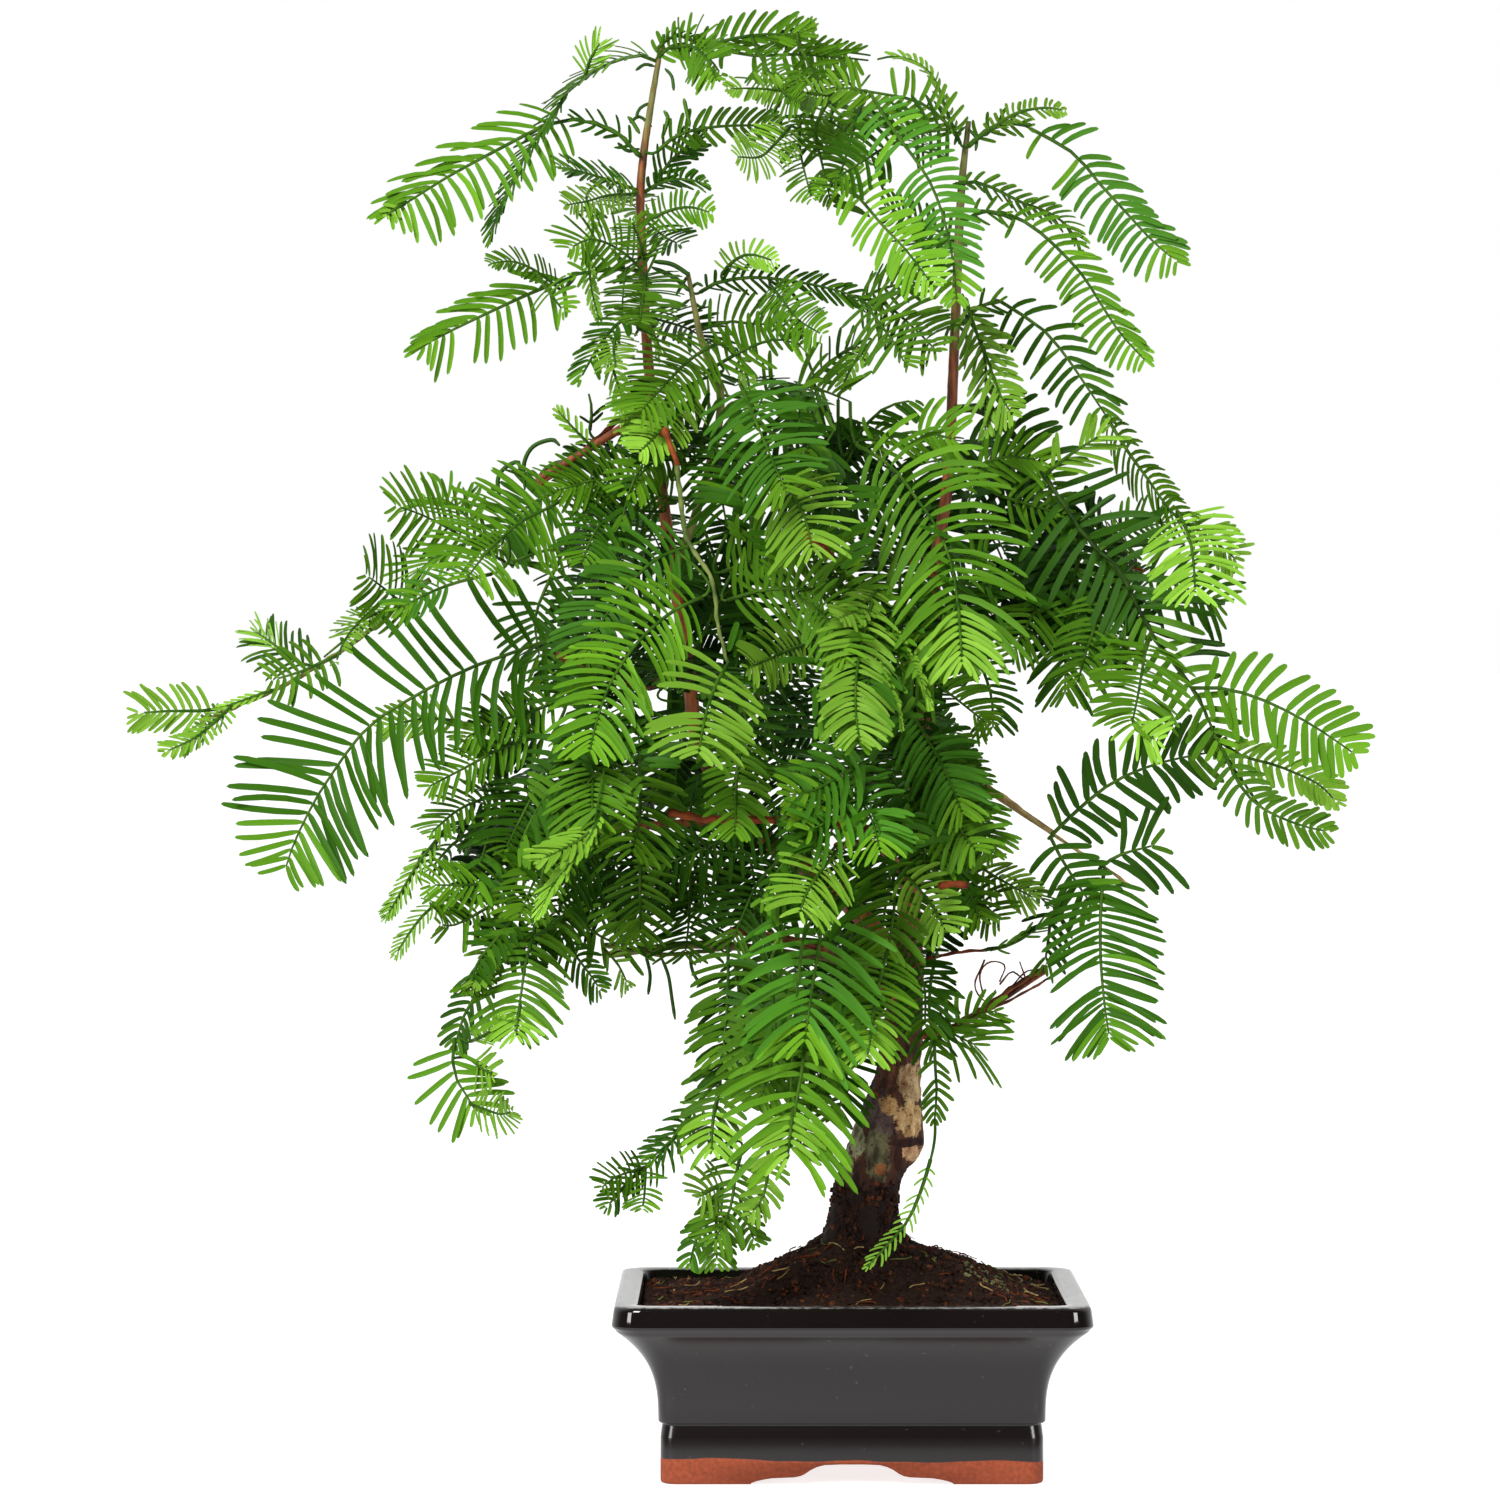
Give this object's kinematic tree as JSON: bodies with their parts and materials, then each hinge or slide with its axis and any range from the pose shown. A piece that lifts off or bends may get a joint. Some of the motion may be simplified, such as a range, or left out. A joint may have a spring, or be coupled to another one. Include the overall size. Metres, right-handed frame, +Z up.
{
  "type": "potted dawn redwood bonsai",
  "caption": "Small deciduous conifer grown as a bonsai: leaning trunk forked into tall leaders, feathery flat sprays of needles, in a dark glazed rectangular pot.",
  "frame": {"origin": "on the floor, under the middle of the whole plant's bounding box; the pot's middle is at x +0.030 m, y -0.006 m", "axes": "+Z up; +X to the right of the pictured side, along the pot's long side; -Y towards the viewer"},
  "size_m": [0.386, 0.22, 0.4615],
  "materials": {
    "bark": "matte",
    "young_bark": "matte",
    "needles": "matte",
    "pot_glaze": "gloss",
    "soil": "matte"
  },
  "bodies": {
    "root": {"trunk": "bark", "right_leader": "young_bark", "left_leader": "young_bark", "middle_leader": "young_bark", "left_bough": "young_bark", "left_mid_bough": "young_bark", "low_left_bough": "young_bark", "bottom_left_bough": "young_bark", "right_bough": "young_bark", "right_low_bough": "young_bark", "front_bough": "young_bark", "front_left_bough": "young_bark", "dead_twig": "young_bark", "between_high": "needles", "between_low": "needles", "bottom_left": "needles", "centre_back": "needles", "centre_bright": "needles", "centre_broad": "needles", "centre_drooping": "needles", "front_bright": "needles", "front_hanging": "needles", "front_left": "needles", "front_left_hanging": "needles", "front_low": "needles", "left_broad": "needles", "left_dome_front": "needles", "left_dome_west": "needles", "left_far": "needles", "left_high_back": "needles", "left_low_back": "needles", "left_mid_back": "needles", "left_mid_west": "needles", "left_over_right": "needles", "left_top_back": "needles", "left_top_east": "needles", "left_top_west": "needles", "left_upper_west": "needles", "low_back": "needles", "low_left": "needles", "low_tuft": "needles", "right_front": "needles", "right_hanging": "needles", "right_high_back": "needles", "right_inner": "needles", "right_long": "needles", "right_low": "needles", "right_low_back": "needles", "right_low_front": "needles", "right_mid_back": "needles", "right_mid_east": "needles", "right_top_back": "needles", "right_top_east": "needles", "right_top_west": "needles", "right_twig": "needles", "right_upper_east": "needles", "right_upper_front": "needles", "thin_hanging": "needles", "pot": "pot_glaze", "soil": "soil"}
  },
  "joints": []
}
